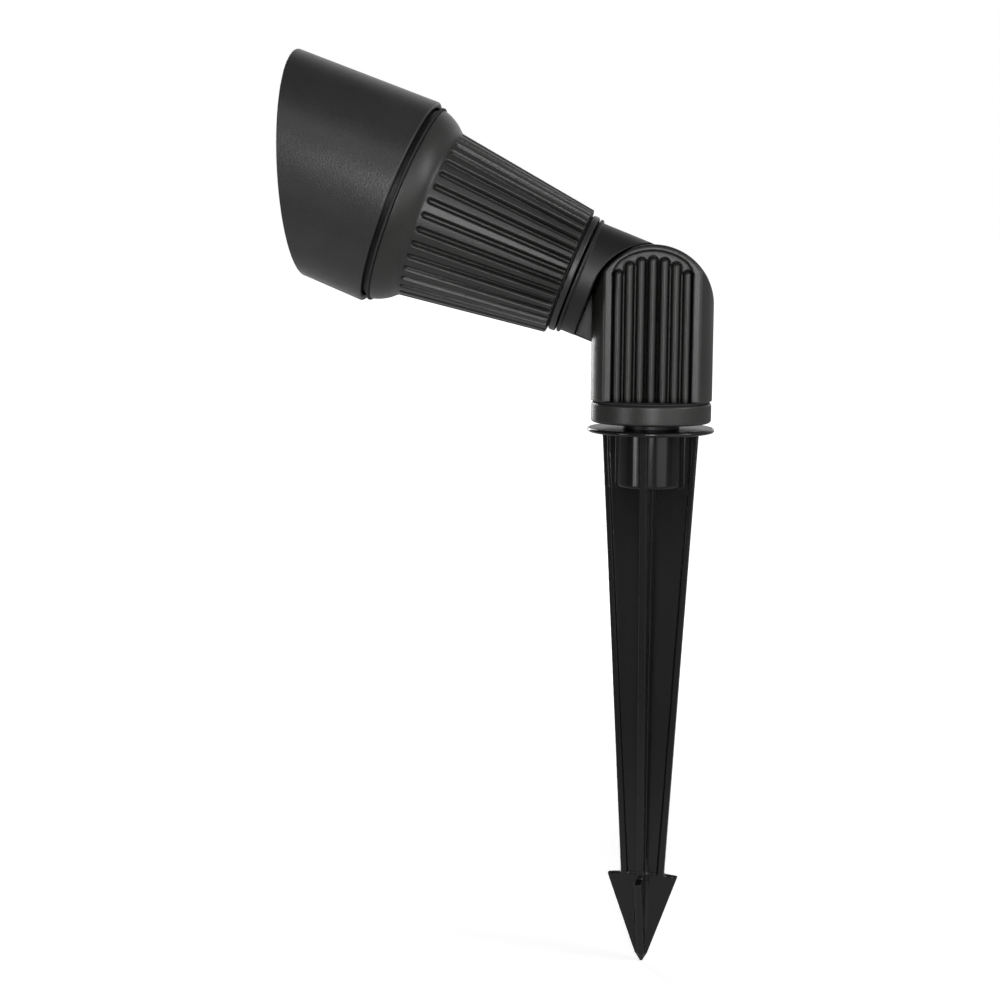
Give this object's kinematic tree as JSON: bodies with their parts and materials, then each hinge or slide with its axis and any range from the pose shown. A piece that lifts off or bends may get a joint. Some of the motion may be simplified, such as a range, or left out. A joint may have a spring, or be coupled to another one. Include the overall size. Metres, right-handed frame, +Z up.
{
  "type": "garden spike spotlight",
  "caption": "Low-voltage garden spotlight with a slanted cowl and ribbed lamp housing on a tilting ribbed knuckle, held in the soil by a barbed four-fin spike.",
  "frame": {"origin": "centre of the underside of the spike's flange, at soil level", "axes": "+Z up along the spike and the stem, the head points to -X at rest, Y is the tilt axis"},
  "size_m": [0.1533, 0.0766, 0.3373],
  "materials": {
    "black_plastic": "moulded, semi-gloss",
    "black_zinc": "black zinc plate",
    "black_paint": "fine-textured matt powder coat on die casting",
    "cowl_paint": "smooth matt powder coat",
    "black_rubber": "matt",
    "stainless": "plain",
    "clear_glass": "clear toughened",
    "lamp_shell": "white",
    "lamp_optic": "clear moulded optic",
    "brass": "plain",
    "ceramic": "unglazed"
  },
  "bodies": {
    "spike": {"stake": "black_plastic"},
    "knuckle_base": {"threaded_stem": "black_zinc", "base_collar": "black_paint", "collar_gasket": "black_rubber", "lower_knuckle": "black_paint"},
    "pivot_fastener": {"pivot_screw": "stainless", "pivot_lock_washer": "stainless"},
    "head": {"upper_knuckle": "black_paint", "pivot_gasket": "black_rubber", "neck_lock_ring": "black_paint", "neck_gasket": "black_rubber", "lamp_housing": "black_paint", "lip_seal": "black_rubber", "lens_gasket": "black_rubber", "lens": "clear_glass", "lens_retaining_ring": "black_paint", "lamp_body": "lamp_shell", "lamp_optic": "lamp_optic", "lamp_pins": "brass", "lamp_socket": "ceramic", "lamp_clip": "stainless"},
    "cowl_carrier": {"cowl_seal": "black_rubber"},
    "cowl_tube": {"cowl": "cowl_paint"}
  },
  "joints": [
    {"name": "swivel", "type": "hinge", "parent": "spike", "child": "knuckle_base", "pos_m": [0, 0, 0], "axis": [0, 0, 1], "range_deg": [-180, 180]},
    {"name": "head_tilt", "type": "hinge", "parent": "knuckle_base", "child": "head", "pos_m": [0, 0, 0.0457], "axis": [0, 1, 0], "range_deg": [-21.6, 98.4]},
    {"name": "pivot_screw_turn", "type": "hinge", "parent": "knuckle_base", "child": "pivot_fastener", "pos_m": [0, 0, 0.0457], "axis": [0, 1, 0], "range_deg": [0, 360]},
    {"name": "cowl_slide", "type": "slide", "parent": "head", "child": "cowl_carrier", "axis": [-0.9298, 0, 0.3681], "range_m": [0, 0.0065]},
    {"name": "cowl_turn", "type": "hinge", "parent": "cowl_carrier", "child": "cowl_tube", "pos_m": [0, 0, 0.0457], "axis": [-0.9298, 0, 0.3681], "continuous": true}
  ]
}
